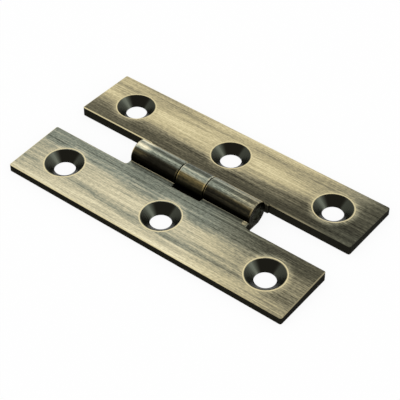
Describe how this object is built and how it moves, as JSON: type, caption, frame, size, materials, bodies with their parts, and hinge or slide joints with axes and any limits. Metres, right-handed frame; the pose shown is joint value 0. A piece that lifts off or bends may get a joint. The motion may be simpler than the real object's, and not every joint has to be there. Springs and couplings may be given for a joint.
{
  "type": "h hinge",
  "caption": "H-shaped cabinet hinge in antiqued solid drawn brass: two long narrow leaves with countersunk screw holes, joined by a short knuckled barrel on a pin.",
  "frame": {"origin": "on the backs of the leaves, under the pin axis, at the middle of the hinge's length", "axes": "+X along the pin, +Y towards the leaf that carries the middle knuckle, +Z out of the countersunk faces"},
  "size_m": [0.064, 0.035, 0.0051],
  "materials": {
    "antique_brass": "brushed lengthwise, darkened and rubbed back",
    "pin_brass": "darkened, flush ends"
  },
  "bodies": {
    "near_leaf": {"two_knuckle_leaf": "antique_brass", "hinge_pin": "pin_brass"},
    "far_leaf": {"one_knuckle_leaf": "antique_brass"}
  },
  "joints": [
    {"name": "pin_hinge", "type": "hinge", "parent": "near_leaf", "child": "far_leaf", "pos_m": [0, 0, 0.0025], "axis": [1, 0, 0], "range_deg": [-105, 184]}
  ]
}
